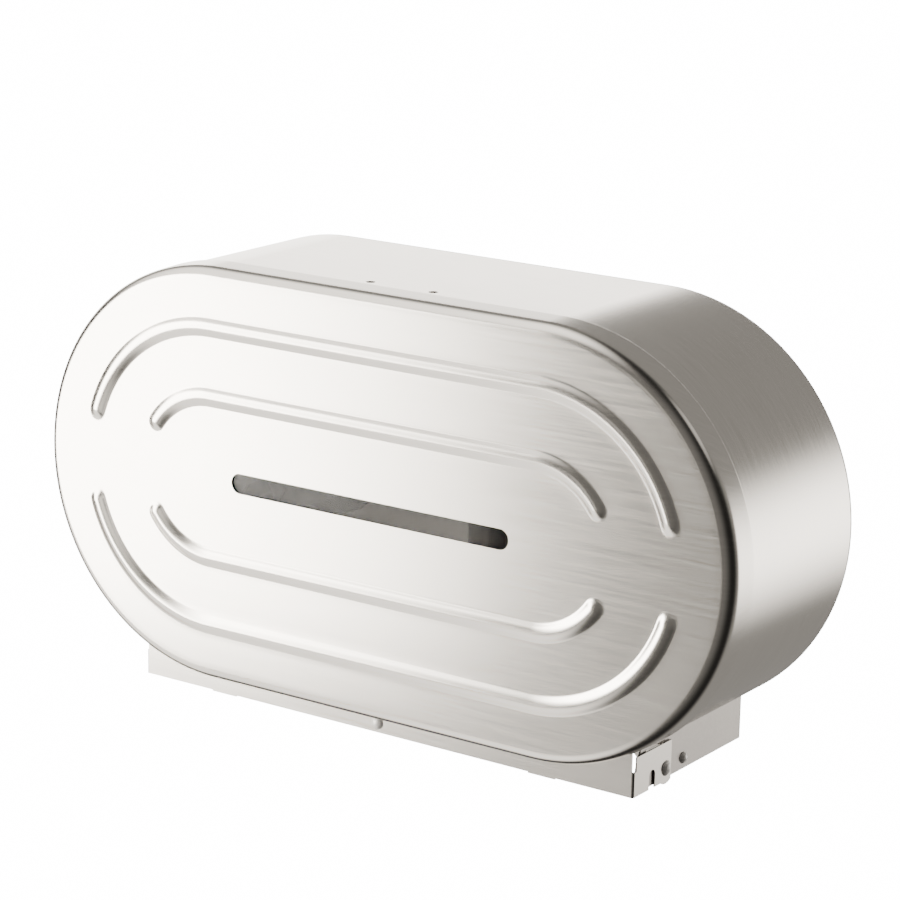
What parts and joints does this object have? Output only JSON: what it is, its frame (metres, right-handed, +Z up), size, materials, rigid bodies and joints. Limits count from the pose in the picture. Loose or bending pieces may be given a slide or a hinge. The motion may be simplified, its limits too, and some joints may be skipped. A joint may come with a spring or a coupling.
{
  "type": "jumbo toilet roll dispenser",
  "caption": "Wall-mounted stainless steel dispenser for jumbo toilet rolls side by side, with a hinged drop-front cover, raised beads and a window slot.",
  "frame": {"origin": "centre of the four wall slots on the back face, level with both roll axes", "axes": "+Y into the wall, the cover faces -Y; +X to the right for someone facing the cover; +Z up"},
  "size_m": [0.528, 0.1503, 0.2913],
  "materials": {
    "satin_steel": "fine straight-grained satin, slightly warm",
    "mill_steel": "dull mill finish, inside parts",
    "bright_steel": "turned and tumbled fasteners and pins",
    "spring_steel": "bare spring strip",
    "smoky_lens": "smoky clear plastic strip",
    "dark_plastic": "moulded, fine matt texture"
  },
  "bodies": {
    "housing": {"back_plate": "mill_steel", "rim_band": "satin_steel", "side_plate_left": "satin_steel", "side_plate_right": "satin_steel", "centre_channel": "mill_steel", "tear_bar": "satin_steel", "tear_bar_rivets": "bright_steel", "hinge_rivet_left": "bright_steel", "hinge_rivet_right": "bright_steel", "hinge_washers": "bright_steel", "spindle_base_left": "mill_steel", "spindle_base_right": "mill_steel", "axle_left": "bright_steel", "axle_right": "bright_steel", "axle_washers": "bright_steel", "axle_nut_left": "bright_steel", "axle_nut_right": "bright_steel", "latch_bracket": "mill_steel", "latch_spring": "spring_steel", "latch_rivets": "bright_steel"},
    "cover": {"front_panel": "satin_steel", "apron": "satin_steel", "apron_rivet": "bright_steel", "apron_stiffener": "mill_steel", "window_lens": "smoky_lens", "lens_rails": "mill_steel", "lens_clips": "mill_steel", "latch_keeper": "mill_steel"},
    "left_spindle": {"roll_hub_left": "dark_plastic"},
    "right_spindle": {"roll_hub_right": "dark_plastic"}
  },
  "joints": [
    {"name": "cover_hinge", "type": "hinge", "parent": "housing", "child": "cover", "pos_m": [0, -0.0941, -0.1425], "axis": [1, 0, 0], "range_deg": [0, 145], "deforming": ["latch_spring"]},
    {"name": "left_spindle_turn", "type": "hinge", "parent": "housing", "child": "left_spindle", "pos_m": [-0.1255, -0.06, 0], "axis": [0, -1, 0], "continuous": true},
    {"name": "right_spindle_turn", "type": "hinge", "parent": "housing", "child": "right_spindle", "pos_m": [0.1255, -0.06, 0], "axis": [0, -1, 0], "continuous": true}
  ]
}
